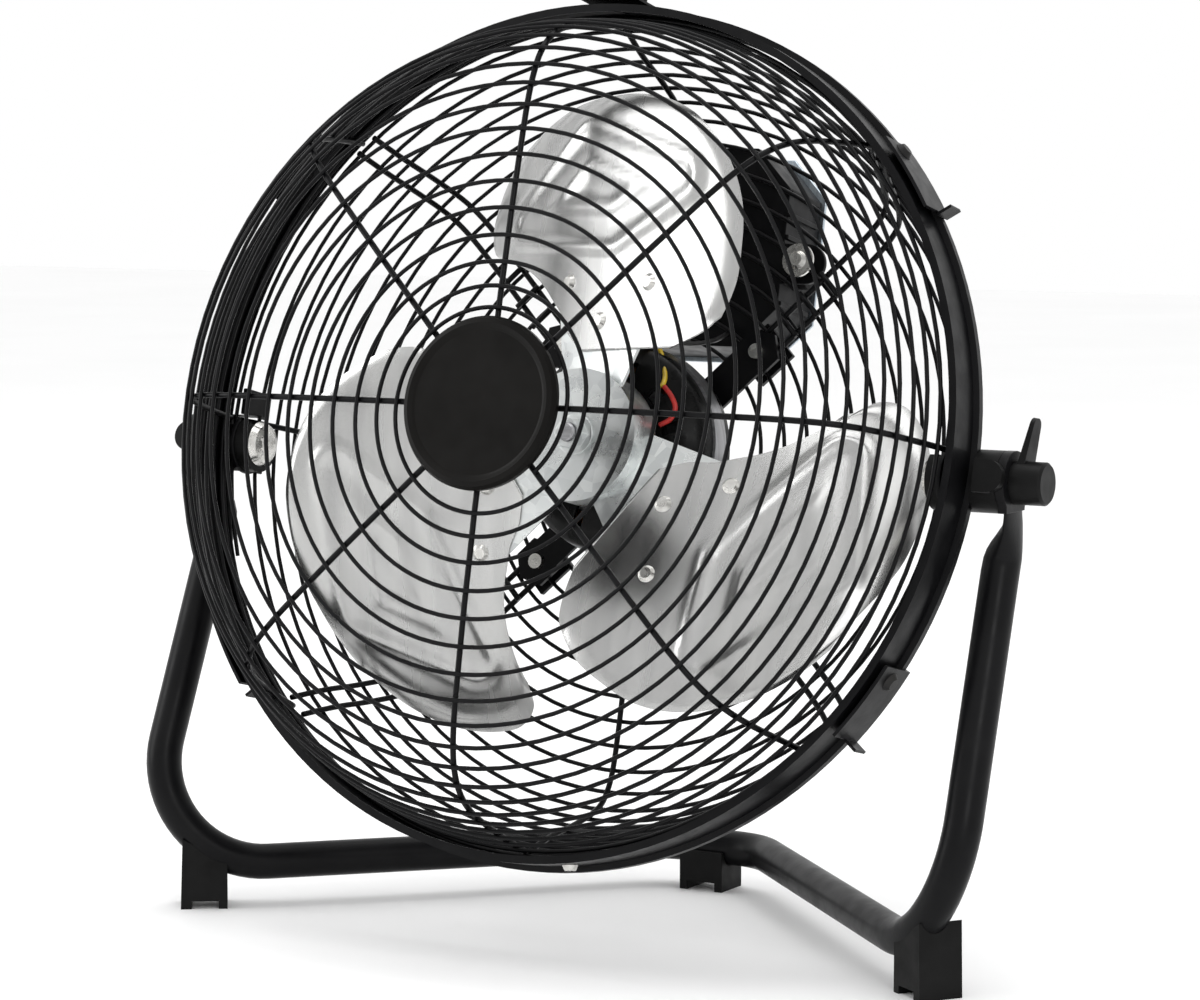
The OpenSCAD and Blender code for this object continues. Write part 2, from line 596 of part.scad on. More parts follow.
module tube_half(d, w) {
 a = unit(tube_top - tube_front);
 b = unit(tube_rear - tube_front);
 g1 = bend_gap(tube_top, tube_front, tube_rear, front_bend);
 g2 = bend_gap(tube_front, tube_rear, tube_mid, rear_bend);
 straight(tube_front + a * g1, tube_top, d, w);
 bend(tube_top, tube_front, tube_rear, front_bend, d, w);
 straight(tube_front + b * g1, tube_rear - b * g2, d, w);
 bend(tube_front, tube_rear, tube_mid, rear_bend, d, w);
}
// points along a bend of radius r at corner q
function bend_points(p, q, s, r, n) =
 let (a = unit(p - q), b = unit(s - q), open_a = acos(a * b), gap = r / tan(open_a / 2),
 c = q + unit(a + b) * r / sin(open_a / 2), ux = unit(q + a * gap - c),
 uz = unit(cross(ux, unit(q + b * gap - c))), uy = cross(uz, ux))
 [for (i = [0:n]) let (t = (180 - open_a) * i / n) c + r * (cos(t) * ux + sin(t) * uy)];
// each ring is [centre, squeeze across X, spread along Y]
function plain(points) = [for (p = points) [p, 1, 1]];
half_path = concat(
 [[[201, 1.5, 202], 0.17, 1.05], [[200.9, 2.2, 196], 0.19, 1.1], [[200.2, 3.6, 190], 0.32, 1.12],
 [[198, 5, 184], 0.62, 1.1], [[195.8, 5.9, 178.5], 0.9, 1.03]],
 plain([tube_top - [0, 1, 3]]),
 plain(bend_points(tube_top, tube_front, tube_rear, front_bend, 9)),
 plain(bend_points(tube_front, tube_rear, tube_mid, rear_bend, 5)));
function flipped(path) = [for (i = [len(path) - 1:-1:0]) [[-path[i][0][0], path[i][0][1], path[i][0][2]], path[i][1], path[i][2]]];
module tube_sweep(path, r, sides) {
 n = len(path);
 points = [for (i = [0:n - 1])
 let (c = path[i][0], t = unit(path[min(i + 1, n - 1)][0] - path[max(i - 1, 0)][0]),
 ref = unit([c[0] / 200, 1, 0]), n1 = unit(ref - (ref * t) * t), n2 = cross(t, n1), side = unit(cross(t, [1, 0, 0])))
 for (j = [0:sides - 1]) let (a = 360 * j / sides, o = r * (cos(a) * n1 + sin(a) * n2))
 c + o + (path[i][1] - 1) * (o * [1, 0, 0]) * [1, 0, 0] + (path[i][2] - 1) * (path[i][2] == 1 ? 0 : o * side) * side];
 walls = [for (i = [0:n - 2]) for (j = [0:sides - 1]) let (k = (j + 1) % sides)
 each [[i * sides + j, (i + 1) * sides + j, (i + 1) * sides + k], [i * sides + j, (i + 1) * sides + k, i * sides + k]]];
 first_cap = [[for (j = [0:sides - 1]) j]];
 last_cap = [[for (j = [sides - 1:-1:0]) (n - 1) * sides + j]];
 polyhedron(points = points, faces = concat(walls, first_cap, last_cap));
}
module stand_tube() {
 full = concat(half_path, flipped(half_path));
 m = len(full);
 color([0.05, 0.05, 0.05]) on_stand() {
 difference() {
 union() {
 difference() {
 tube_sweep(full, tube_d / 2, 20);
 tube_sweep([for (i = [4:m - 5]) full[i]], tube_d / 2 - tube_wall, 12);
 }
 // flattened ends that take the bolts
 mirrored_x() translate([tab_in, 0, pivot_h]) {
 rotate([0, 90, 0]) cylinder(r = 13, h = tab_out - tab_in);
 translate([0, -9.5, 198 - pivot_h]) cube([tab_out - tab_in, 19, pivot_h - 198]);
 }
 }
 mirrored_x() translate([tab_in - 1, 0, pivot_h]) rotate([0, 90, 0]) cylinder(r = bolt_r + run_gap, h = 8);
 }
 }
}
module foot_block(long, wide, high) {
 difference() {
 translate([-long / 2, -wide / 2, 0]) cube([long, wide, high]);
 translate([-long / 2 + 4, -wide / 2 - 1, -1]) cube([long - 8, wide + 2, 5]);
 }
}
// saddle under the front bend, higher on its outer side
module front_foot() {
 difference() {
 translate([179.5, -30, 0]) rotate([0, 0, 145]) difference() {
 translate([0, front_foot_w / 2, 0]) rotate([90, 0, 0]) linear_extrude(front_foot_w)
 polygon([[-front_foot_l / 2 - 1, 0], [front_foot_l / 2, 0], [front_foot_l / 2, 21], [-front_foot_l / 2, 32]]);
 translate([-front_foot_l / 2 + 4, -front_foot_w, -1]) cube([front_foot_l - 8, 2 * front_foot_w, 4.5]);
 }
 tube_half(tube_d + 0.1, 0);
 translate([0, 0, 10]) tube_half(tube_d + 3, 0);
 }
}
module foot_right() { color([0.03, 0.03, 0.03]) on_stand() front_foot(); }
module foot_left() { color([0.03, 0.03, 0.03]) on_stand() mirror([1, 0, 0]) front_foot(); }
module foot_rear() {
 color([0.03, 0.03, 0.03]) on_stand() difference() {
 translate([0, rear_y, 0]) foot_block(22, 20, base_z - 1);
 translate([-30, rear_y, base_z]) rotate([0, 90, 0]) cylinder(d = tube_d + 0.1, h = 60);
 }
}

front_grille();
front_side_wire();
front_spokes();
badge_cap();
badge_plate();
badge_screw();
rear_grille();
rear_side_wire();
rear_spokes();
rear_ring();
rim_band();
band_clips();
clip_screws();
band_buckle();
band_screw();
blade_1();
blade_2();
blade_3();
hub_spider();
blade_rivets();
hub_nut();
motor_shaft();
rotor_core();
motor_front_shell();
motor_rear_shell();
stator_core();
stator_windings();
front_bearing();
rear_bearing();
motor_bracket();
bracket_clamps();
bracket_bolts();
control_box();
control_cover();
box_washers();
speed_switch();
capacitor();
cord_gland();
speed_knob();
pivot_brackets();
pivot_bosses();
pivot_bolts();
pivot_nut();
lock_knob();
stand_tube();
foot_right();
foot_left();
foot_rear();
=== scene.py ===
# %% [markdown]
# # A round floor fan on a tilting tube stand
#
# This lesson dresses a fan whose sizes are already fixed by its CAD model. Blender adds what the plain solids
# lack: the one long wire of each guard, pressed ribs in the blades, soft edges and the finish of every surface.

# %% Load the fan's frame
import json
import math
import bpy
from mathutils import Matrix, Vector


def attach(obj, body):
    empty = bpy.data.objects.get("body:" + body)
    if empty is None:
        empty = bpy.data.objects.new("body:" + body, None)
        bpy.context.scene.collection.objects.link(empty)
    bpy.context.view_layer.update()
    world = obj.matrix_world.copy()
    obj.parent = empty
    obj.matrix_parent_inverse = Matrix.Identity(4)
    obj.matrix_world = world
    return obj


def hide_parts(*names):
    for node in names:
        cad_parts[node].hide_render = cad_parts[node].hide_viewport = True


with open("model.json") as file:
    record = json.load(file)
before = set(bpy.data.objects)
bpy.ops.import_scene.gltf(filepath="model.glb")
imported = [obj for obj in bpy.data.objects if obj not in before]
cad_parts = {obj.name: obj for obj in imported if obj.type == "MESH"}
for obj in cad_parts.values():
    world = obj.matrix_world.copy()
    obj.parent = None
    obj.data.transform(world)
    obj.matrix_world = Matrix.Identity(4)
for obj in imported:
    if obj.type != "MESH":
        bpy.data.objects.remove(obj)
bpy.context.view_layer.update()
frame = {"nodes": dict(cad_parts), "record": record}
NODES = frame["nodes"]
print("pieces in the frame:", len(NODES))

# %% [markdown]
# ## The fan's own directions
#
# The head leans back on two pivots, so it is easier to build everything in the head as if it stood upright and
# then lean it. The joints in the record say where the pivot is and which way the shaft points, so the lean is
# read from them and isn't typed in twice.

# %% Find the tilt axis and the shaft
MM = 0.001
JOINTS = {joint["name"]: joint for joint in frame["record"]["behaviour"]["joints"]}
shaft_way = Vector(JOINTS["fan_spin"]["axis"])
LEAN = math.atan2(-shaft_way.z, shaft_way.y)
PIVOT = Matrix.Translation(JOINTS["head_tilt"]["pos_m"])
HEAD = PIVOT @ Matrix.Rotation(-LEAN, 4, "X")
FAN = HEAD @ Matrix.Translation((0, 0, 10 * MM))
STAND_AT = Vector((JOINTS["head_tilt"]["pos_m"][0], JOINTS["head_tilt"]["pos_m"][1], 0))
print("lean in degrees:", round(math.degrees(LEAN), 1))


def round_fan(radius, angle, depth):
    """A point round the shaft. The angle runs anticlockwise as seen from the front, and depth runs backwards."""
    turn = math.radians(angle)
    return FAN @ Vector((radius * math.cos(turn) * MM, depth * MM, radius * math.sin(turn) * MM))


# %% [markdown]
# ## The camera
#
# A long lens far away keeps the round guard from looking swollen. The camera stands to the right of the fan and
# a little above its middle, so one side of the stand and the depth of the cage both show.

# %% Place the camera
camera_data = bpy.data.cameras.new("camera")
camera_data.lens = 114.34
camera_data.sensor_width = 36
camera = bpy.data.objects.new("camera", camera_data)
bpy.context.collection.objects.link(camera)
camera_right = Vector((0.86942, 0.49408, 0.00131))
camera_down = Vector((0.04989, -0.08515, -0.99512))
camera_ahead = Vector((-0.49156, 0.86524, -0.09868))
turned = Matrix((camera_right, -camera_down, -camera_ahead)).transposed()
camera.matrix_world = Matrix.Translation(STAND_AT + Vector((0.8165, -1.4215, 0.3534))) @ turned.to_4x4()
bpy.context.scene.camera = camera
print("camera lens in mm:", camera_data.lens)

# %% [markdown]
# ## How a finish is built
#
# Every finish here is a Principled shader whose colour and roughness wander a little, because no real coat is
# even. One helper makes the shader, one spreads a noise between two tones, and one turns a fine noise into a
# shallow bump. The noise is measured in metres on the piece itself, so it moves with the piece.


# %% Helpers for finishes
def new_finish(name, metal=0.0, coat=0.0, specular=0.5):
    finish = bpy.data.materials.new(name)
    finish.use_nodes = True
    shader = finish.node_tree.nodes["Principled BSDF"]
    shader.inputs["Metallic"].default_value = metal
    shader.inputs["Coat Weight"].default_value = coat
    shader.inputs["Specular IOR Level"].default_value = specular
    return finish


def place_on_piece(finish, stretch=(1, 1, 1)):
    nodes, links = finish.node_tree.nodes, finish.node_tree.links
    where = nodes.new("ShaderNodeTexCoord")
    mapping = nodes.new("ShaderNodeMapping")
    mapping.inputs["Scale"].default_value = stretch
    links.new(where.outputs["Object"], mapping.inputs["Vector"])
    return mapping.outputs["Vector"]


def noise(finish, per_metre, detail=3.0, stretch=(1, 1, 1)):
    nodes, links = finish.node_tree.nodes, finish.node_tree.links
    cloud = nodes.new("ShaderNodeTexNoise")
    cloud.inputs["Scale"].default_value = per_metre
    cloud.inputs["Detail"].default_value = detail
    links.new(place_on_piece(finish, stretch), cloud.inputs["Vector"])
    return cloud.outputs["Fac"]


def spread(finish, pattern, low, high, socket, start=0.35, end=0.65):
    """Spreads a pattern between two tones, or between two roughnesses, and wires it to the shader."""
    nodes, links = finish.node_tree.nodes, finish.node_tree.links
    ramp = nodes.new("ShaderNodeValToRGB")
    ramp.color_ramp.elements[0].position = start
    ramp.color_ramp.elements[1].position = end
    for stop, tone in zip(ramp.color_ramp.elements, (low, high)):
        stop.color = (tone, tone, tone, 1) if isinstance(tone, float) else (*tone, 1)
    links.new(pattern, ramp.inputs["Fac"])
    links.new(ramp.outputs["Color"], nodes["Principled BSDF"].inputs[socket])


def bump(finish, pattern, height, strength=0.5):
    nodes, links = finish.node_tree.nodes, finish.node_tree.links
    relief = nodes.new("ShaderNodeBump")
    relief.inputs["Distance"].default_value = height
    relief.inputs["Strength"].default_value = strength
    links.new(pattern, relief.inputs["Height"])
    links.new(relief.outputs["Normal"], nodes["Principled BSDF"].inputs["Normal"])


# %% [markdown]
# ## Black coats and black plastics
#
# The guards, band and stand wear a satin powder coat: it flows as it cures, which leaves a faint orange peel.
# The knobs, feet and switch box are moulded, and their grain is much finer. They differ mostly in roughness.


# %% Mix the black finishes
def black_finish(name, dark, light, smooth, rough, grain, height, specular=0.12):
    finish = new_finish(name, specular=specular)
    spread(finish, noise(finish, 45), dark, light, "Base Color")
    spread(finish, noise(finish, 120, 4), smooth, rough, "Roughness")
    bump(finish, noise(finish, grain, 2), height)
    return finish


powder_coat = black_finish("powder_coat", (0.0025, 0.0025, 0.003), (0.005, 0.005, 0.0055), 0.3, 0.4, 650, 0.00006)
guard_coat = black_finish("guard_coat", (0.0025, 0.0025, 0.003), (0.005, 0.005, 0.0055), 0.26, 0.38, 800, 0.00003)
moulded_black = black_finish("moulded_black", (0.003, 0.003, 0.003), (0.006, 0.006, 0.006), 0.36, 0.48, 2600, 0.00003)
badge_black = black_finish("badge_black", (0.003, 0.0026, 0.0022), (0.005, 0.0045, 0.004), 0.3, 0.4, 1800, 0.00002, 0.1)
box_black = black_finish("box_black", (0.002, 0.002, 0.0025), (0.005, 0.005, 0.0055), 0.34, 0.5, 2200, 0.00004)
foot_rubber = black_finish("foot_rubber", (0.003, 0.003, 0.003), (0.007, 0.007, 0.007), 0.48, 0.62, 1500, 0.00006)
motor_enamel = black_finish("motor_enamel", (0.002, 0.002, 0.002), (0.005, 0.005, 0.005), 0.22, 0.42, 500, 0.00008)
oxide_black = black_finish("oxide_black", (0.012, 0.012, 0.012), (0.025, 0.024, 0.023), 0.3, 0.45, 900, 0.00002)
print("black finishes: 8")

# %% [markdown]
# ## Bare metals
#
# The blades are bright rolled sheet. Rolling leaves long faint lines, so their noise is stretched along one way.
# The hub is galvanised, which freezes in flakes, and a Voronoi pattern gives those flakes. Plated screws are
# smoother than both.


# %% Mix the metal finishes
def metal_finish(name, low, high, smooth, rough, per_metre, stretch=(1, 1, 1), grain=0.00001):
    finish = new_finish(name, metal=1.0)
    spread(finish, noise(finish, per_metre, 4, stretch), low, high, "Base Color")
    spread(finish, noise(finish, per_metre * 0.6, 5, stretch), smooth, rough, "Roughness")
    bump(finish, noise(finish, per_metre * 3, 2, stretch), grain, 0.3)
    return finish


blade_sheet = metal_finish("blade_sheet", (0.5, 0.5, 0.495), (0.58, 0.58, 0.57), 0.22, 0.3, 12, (9, 1, 1), 0.000002)
zinc_plate = metal_finish("zinc_plate", (0.62, 0.61, 0.58), (0.78, 0.77, 0.74), 0.18, 0.34, 260)
core_steel = metal_finish("core_steel", (0.3, 0.3, 0.31), (0.45, 0.45, 0.46), 0.3, 0.5, 60, (1, 40, 1), 0.00004)
copper_wire = metal_finish("copper_wire", (0.5, 0.2, 0.07), (0.75, 0.36, 0.15), 0.25, 0.4, 400, (1, 8, 1), 0.0001)
bronze_bush = metal_finish("bronze_bush", (0.42, 0.28, 0.12), (0.6, 0.43, 0.22), 0.35, 0.5, 500)
dial_face = metal_finish("dial_face", (0.42, 0.48, 0.54), (0.56, 0.62, 0.66), 0.3, 0.42, 90, (12, 1, 1))

galvanised = new_finish("galvanised", metal=1.0)
flakes = galvanised.node_tree.nodes.new("ShaderNodeTexVoronoi")
flakes.inputs["Scale"].default_value = 170
galvanised.node_tree.links.new(place_on_piece(galvanised), flakes.inputs["Vector"])
spread(galvanised, flakes.outputs["Color"], (0.56, 0.58, 0.58), (0.76, 0.78, 0.77), "Base Color", 0.1, 0.9)
spread(galvanised, noise(galvanised, 70, 5), 0.24, 0.42, "Roughness")
bump(galvanised, flakes.outputs["Distance"], 0.00003, 0.3)

switch_resin = new_finish("switch_resin")
spread(switch_resin, noise(switch_resin, 80), (0.55, 0.5, 0.38), (0.66, 0.62, 0.5), "Base Color")
spread(switch_resin, noise(switch_resin, 200), 0.4, 0.55, "Roughness")


def sleeve_finish(name, tone):
    finish = new_finish(name)
    darker = tuple(channel * 0.7 for channel in tone)
    spread(finish, noise(finish, 300), darker, tone, "Base Color")
    spread(finish, noise(finish, 500), 0.3, 0.42, "Roughness")
    return finish


yellow_sleeve = sleeve_finish("yellow_sleeve", (0.8, 0.55, 0.02))
red_sleeve = sleeve_finish("red_sleeve", (0.5, 0.02, 0.015))
black_sleeve = sleeve_finish("black_sleeve", (0.015, 0.015, 0.015))
print("metal finishes: 7, sleeves: 3")

# %% [markdown]
# ## Two ways to make a piece
#
# Sheet and solid pieces are made from lists of points and faces. Wires and tubes are swept: a ring of points is
# carried along a path, and each ring is turned only as much as the path turns, so the wall never twists.


# %% Helpers for pieces
def add_piece(name, points, faces, finish, body, stands_for=(), record_slot=None):
    mesh = bpy.data.meshes.new(name)
    mesh.from_pydata([tuple(p) for p in points], [], faces)
    mesh.validate()
    mesh.materials.append(finish)
    mesh.polygons.foreach_set("use_smooth", [True] * len(mesh.polygons))
    piece = bpy.data.objects.new(name, mesh)
    bpy.context.collection.objects.link(piece)
    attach(piece, body)
    if stands_for:
        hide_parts(*stands_for)
    return piece


def sweep(path, radius, sides, closed=False, squeeze=None):
    """Points and faces of a round bar along a path. squeeze gives, per ring, (thickness across X, width)."""
    count = len(path)
    points, faces = [], []
    ahead_of = lambda i: (path[(i + 1) % count] if closed or i < count - 1 else path[i])
    behind = lambda i: (path[i - 1] if closed or i > 0 else path[i])
    way = (ahead_of(0) - behind(0)).normalized()
    across = way.orthogonal().normalized()
    for i in range(count):
        new_way = (ahead_of(i) - behind(i)).normalized()
        across = way.rotation_difference(new_way) @ across
        across = (across - across.dot(new_way) * new_way).normalized()
        way = new_way
        side = way.cross(across)
        flat_way = way.cross(Vector((1, 0, 0))).normalized()
        for k in range(sides):
            turn = 2 * math.pi * k / sides
            offset = radius * (math.cos(turn) * across + math.sin(turn) * side)
            if squeeze and squeeze[i] != (1, 1):
                thin, wide = squeeze[i]
                thinner = (thin - 1) * offset.x * Vector((1, 0, 0))
                wider = (wide - 1) * offset.dot(flat_way) * flat_way
                offset = offset + thinner + wider
            points.append(path[i] + offset)
    rings = count if closed else count - 1
    for i in range(rings):
        for k in range(sides):
            a, b = i * sides + k, i * sides + (k + 1) % sides
            c, d = ((i + 1) % count) * sides + (k + 1) % sides, ((i + 1) % count) * sides + k
            faces.append((a, d, c, b))
    if not closed:
        faces.append(tuple(range(sides)))
        faces.append(tuple(range((count - 1) * sides, count * sides))[::-1])
    return points, faces


def join_sweeps(parts):
    points, faces = [], []
    for more_points, more_faces in parts:
        start = len(points)
        points += more_points
        faces += [tuple(index + start for index in face) for face in more_faces]
    return points, faces


def smooth_through(stops, position):
    """A value on the smooth curve through evenly counted stops (Catmull and Rom's rule)."""
    position = min(max(position, 0.0), len(stops) - 1.0)
    i = min(int(position), len(stops) - 2)
    t = position - i
    before, after = max(i - 1, 0), min(i + 2, len(stops) - 1)
    value = []
    for a, b, c, d in zip(stops[before], stops[i], stops[i + 1], stops[after]):
        curve = 2 * b + (c - a) * t + (2 * a - 5 * b + 4 * c - d) * t * t + (3 * b - a - 3 * c + d) * t ** 3
        value.append(0.5 * curve)
    return value


# %% [markdown]
# ## The front guard
#
# The front guard isn't a set of rings. It is one wire wound as a spiral, which starts beside the badge and ends
# at the rim, and it is welded to eight spokes behind it. Its shape is a dish: nearly flat, then a soft corner,
# then a leaning side. The stops below are the radius and depth of the wire after each whole turn.

# %% Wind the front spiral
FRONT_DISH = [
    (38.5, -85.4), (46.5, -85.4), (56.3, -85.1), (67.3, -84.9), (78.9, -84.7), (90.4, -84.3), (102.0, -83.8),
    (113.2, -83.2), (123.9, -82.6), (133.8, -81.6), (142.7, -79.9), (150.8, -77.2), (157.9, -72.8), (163.6, -67.0),
    (168.0, -59.7), (171.2, -51.5), (173.7, -43.3), (175.9, -34.9), (178.0, -26.4), (180.0, -17.8), (182.0, -9.0),
]
RING_WIRE = 0.95 * MM
SPOKE_WIRE = 1.3 * MM
WIRE_SIDES = 8
STEPS_PER_TURN = 90
FRONT_START_ANGLE = 315


def wind(dish, start_angle):
    """The guard wire, wound once between each stop of the dish and the next."""
    turns = len(dish) - 1
    path = []
    for step in range(turns * STEPS_PER_TURN + 1):
        radius, depth = smooth_through(dish, step / STEPS_PER_TURN)
        path.append(round_fan(radius, start_angle + 360 * step / STEPS_PER_TURN, depth))
    return path


front_path = wind(FRONT_DISH, FRONT_START_ANGLE)
add_piece(
    "front_guard_wire", *sweep(front_path, RING_WIRE, WIRE_SIDES), guard_coat,
    "head", ("front_grille", "front_side_wire"), "satin_black",
)
print("front wire, metres:", round(sum((b - a).length for a, b in zip(front_path, front_path[1:])), 1))


# %% [markdown]
# The spokes follow the same dish, one wire's thickness further in. Both ends are welded to a ring: a small one
# under the badge and the last one under the rim band.


# %% Bend the front spokes
STEPS_PER_STOP = 4


def spoke_path(dish, angle, gap, sideways=0.0):
    """A spoke along the dish, gap mm inside the ring wire. sideways shifts it off its angle, in mm."""
    last = len(dish) - 1
    count = last * STEPS_PER_STOP
    path = []
    for step in range(count + 1):
        at = last * step / count
        here = Vector(smooth_through(dish, at))
        ahead = Vector(smooth_through(dish, at + 0.1)) - Vector(smooth_through(dish, at - 0.1))
        ahead.normalize()
        inward = Vector((-ahead.y, ahead.x)) * gap
        radius, depth = here + inward
        shift = math.degrees(math.atan2(sideways, radius))
        path.append(round_fan(math.hypot(radius, sideways), angle + shift, depth))
    return path


def ring(radius, depth, wire, steps):
    """A closed ring of wire round the shaft."""
    path = [round_fan(radius, 360 * k / steps, depth) for k in range(steps)]
    return sweep(path, wire, WIRE_SIDES, closed=True)


WELD_GAP = 2.15
RIM_RING = 183.1
RIM_WIRE = 1.0 * MM
HUB_RING = 27
front_spoke_dish = [(HUB_RING, -85.4), (32.5, -85.4)] + FRONT_DISH
front_parts = [sweep(spoke_path(front_spoke_dish, 45 * k, WELD_GAP), SPOKE_WIRE, WIRE_SIDES) for k in range(8)]
front_parts.append(ring(HUB_RING, -83, SPOKE_WIRE, 96))
front_parts.append(ring(RIM_RING, -9.4, RIM_WIRE, 160))
add_piece("front_guard_spokes", *join_sweeps(front_parts), guard_coat, "head", ("front_spokes",), "satin_black")
print("front spokes: 8")

# %% [markdown]
# ## The rear guard
#
# The rear guard is wound the same way, and it also carries the motor. Four of its eight spokes are pairs of
# wires with short rungs between them, like narrow ladders, and the motor's bracket is clamped on those.

# %% Wind the rear guard
REAR_DISH = [
    (50.0, 62.0), (60.5, 62.0), (71.5, 62.0), (82.5, 62.0), (93.5, 62.0), (104.5, 62.0), (115.5, 62.0), (126.5, 61.8),
    (137.5, 61.2), (147.5, 59.0), (156.0, 54.0), (161.5, 46.0), (165.5, 36.5), (169.0, 27.0), (172.3, 16.5),
    (176.0, 7.0), (181.0, -4.0),
]
REAR_START_ANGLE = 200
rear_path = wind(REAR_DISH, REAR_START_ANGLE)
add_piece(
    "rear_guard_wire", *sweep(rear_path, RING_WIRE, WIRE_SIDES), guard_coat,
    "head", ("rear_grille", "rear_side_wire"), "satin_black",
)
PAIR_OFFSET = 5
RUNG_RADII = (52, 88, 101, 114)
RUNG_REACH = 7
RUNG_DEPTH = 57.3
rear_spoke_dish = REAR_DISH[:-1] + [(181.6, -5.0)]
rear_parts = [sweep(spoke_path(rear_spoke_dish, 90 * k, -WELD_GAP), SPOKE_WIRE, WIRE_SIDES) for k in range(4)]
for k in range(4):
    ladder_angle = 45 + 90 * k
    for sideways in (-PAIR_OFFSET, PAIR_OFFSET):
        rear_parts.append(sweep(spoke_path(rear_spoke_dish, ladder_angle, -WELD_GAP, sideways), SPOKE_WIRE, WIRE_SIDES))
    for radius in RUNG_RADII:
        rung = []
        for sideways in (-RUNG_REACH, RUNG_REACH):
            shift = math.degrees(math.atan2(sideways, radius))
            rung.append(round_fan(math.hypot(radius, sideways), ladder_angle + shift, RUNG_DEPTH))
        rear_parts.append(sweep(rung, SPOKE_WIRE, WIRE_SIDES))
rear_parts.append(ring(RIM_RING, -7.0, RIM_WIRE, 160))
add_piece(
    "rear_guard_spokes", *join_sweeps(rear_parts), guard_coat,
    "head", ("rear_spokes", "rear_ring"), "satin_black",
)
print("rear wire, metres:", round(sum((b - a).length for a, b in zip(rear_path, rear_path[1:])), 1))

# %% [markdown]
# ## The stand
#
# One tube makes the whole stand. It comes down from a pressed-flat end at each pivot, turns under the fan in a
# wide bend and meets itself at the back. The path is worked out from its corners, and each corner is rounded
# with an arc, just as a tube bender does it.


# %% Bend the stand tube
def arc_points(before, corner, after, radius, count):
    a, b = (before - corner).normalized(), (after - corner).normalized()
    opening = math.acos(a.dot(b))
    gap = radius / math.tan(opening / 2)
    centre = corner + (a + b).normalized() * radius / math.sin(opening / 2)
    first = (corner + a * gap - centre).normalized()
    normal = first.cross((corner + b * gap - centre).normalized()).normalized()
    second = normal.cross(first)
    sweep_angle = math.pi - opening
    return [
        centre + radius * (math.cos(sweep_angle * i / count) * first + math.sin(sweep_angle * i / count) * second)
        for i in range(count + 1)
    ]


TOP, FRONT, REAR, MIDDLE = (Vector(p) for p in ((194.5, 6, 174), (198.5, -57, 19.5), (26, 120, 19.5), (0, 120, 19.5)))
half = [
    (Vector((201, 1.5, 202)), (0.17, 1.05)), (Vector((200.95, 1.9, 199)), (0.18, 1.08)),
    (Vector((200.8, 2.3, 196)), (0.19, 1.1)), (Vector((200.4, 3.0, 193)), (0.24, 1.12)),
    (Vector((199.9, 3.8, 190)), (0.34, 1.12)), (Vector((199, 4.5, 187)), (0.48, 1.11)),
    (Vector((198, 5, 184)), (0.63, 1.09)), (Vector((196.8, 5.5, 181)), (0.79, 1.06)),
    (Vector((195.7, 5.8, 178)), (0.92, 1.03)), (Vector((194.9, 5.6, 175)), (0.98, 1.01)),
]
half += [(p, (1, 1)) for p in [TOP - Vector((0, 1.6, 4))] + arc_points(TOP, FRONT, REAR, 45, 22)]
half += [(p, (1, 1)) for p in arc_points(FRONT, REAR, MIDDLE, 30, 14)]
mirror_x = lambda p: Vector((-p.x, p.y, p.z))
whole = half + [(mirror_x(p), s) for p, s in reversed(half)]
to_stand = lambda p: p * MM + STAND_AT
tube_path = [to_stand(p) for p, s in whole]
tube_skin = sweep(tube_path, 8 * MM, 40, squeeze=[s for p, s in whole])
print("tube rings:", len(tube_path))


# %% [markdown]
# Each flat end is a rounded ear with the pivot bolt through it. It is drawn as a flat outline, given its
# thickness, and its rim is rounded with a Bevel modifier, as pressing leaves it.


# %% Add the flat ears
def ear(side):
    turns = [math.radians(a) for a in range(-134, 135, 8)]
    outline = [(-9.3, -12)] + [(13 * math.sin(t), 13 * math.cos(t)) for t in turns] + [(9.3, -12)]
    points, faces = [], []
    for x in (199, 203):
        points += [to_stand(Vector((side * x, y, 208 + z))) for y, z in outline]
    n = len(outline)
    faces.append(tuple(range(n)))
    faces.append(tuple(range(n, 2 * n))[::-1])
    faces += [(k, k + n, (k + 1) % n + n, (k + 1) % n) for k in range(n)]
    return points, faces


stand_skin = join_sweeps([tube_skin, ear(1), ear(-1)])
stand = add_piece("stand_tube_bent", *stand_skin, powder_coat, "stand", ("stand_tube",), "satin_black")
edge = stand.modifiers.new("pressed_edge", "BEVEL")
edge.width, edge.segments, edge.limit_method, edge.angle_limit = 0.8 * MM, 2, "ANGLE", math.radians(50)
stand.modifiers.new("even_shade", "WEIGHTED_NORMAL")
print("stand box:", [round(v, 3) for v in stand.dimensions])

# %% [markdown]
# ## The blades
#
# Each blade is one pressed sheet: a wide paddle with a rib pressed round its middle. The sheet is a grid in
# which every row runs from the leading edge to the trailing edge. The rib is a smooth ridge at a set distance
# from a rounded triangle, and the leading edge curls back. The grid gets its thickness from Solidify.

# %% Press the blades
BLADE_ROWS = [
    (38.0, -9.0, 46.0), (42, -14, 57), (46, -19, 65), (50, -22, 69.5), (56, -26.5, 73), (62, -33.5, 75.3),
    (68, -40.5, 76.8), (74, -50, 77.2), (79, -62, 77.2), (82.5, -75, 77.1), (86, -89.5, 77), (90, -94.8, 76.8),
    (96, -97.6, 76.0), (102, -97.8, 74.6), (110, -95, 71.5), (118, -90.5, 67), (126, -84, 61), (134, -75, 52.5),
    (141, -64, 43), (147, -50, 30), (150.5, -38, 18), (152.3, -22, 7),
]
BLADE_TILT = math.radians(20)
HUB_DEPTH = -1.5
CAMBER = 400.0
RIB_CORNERS = [Vector((-62, 98)), Vector((-20, 132)), Vector((42, 112)), Vector((4, 92))]


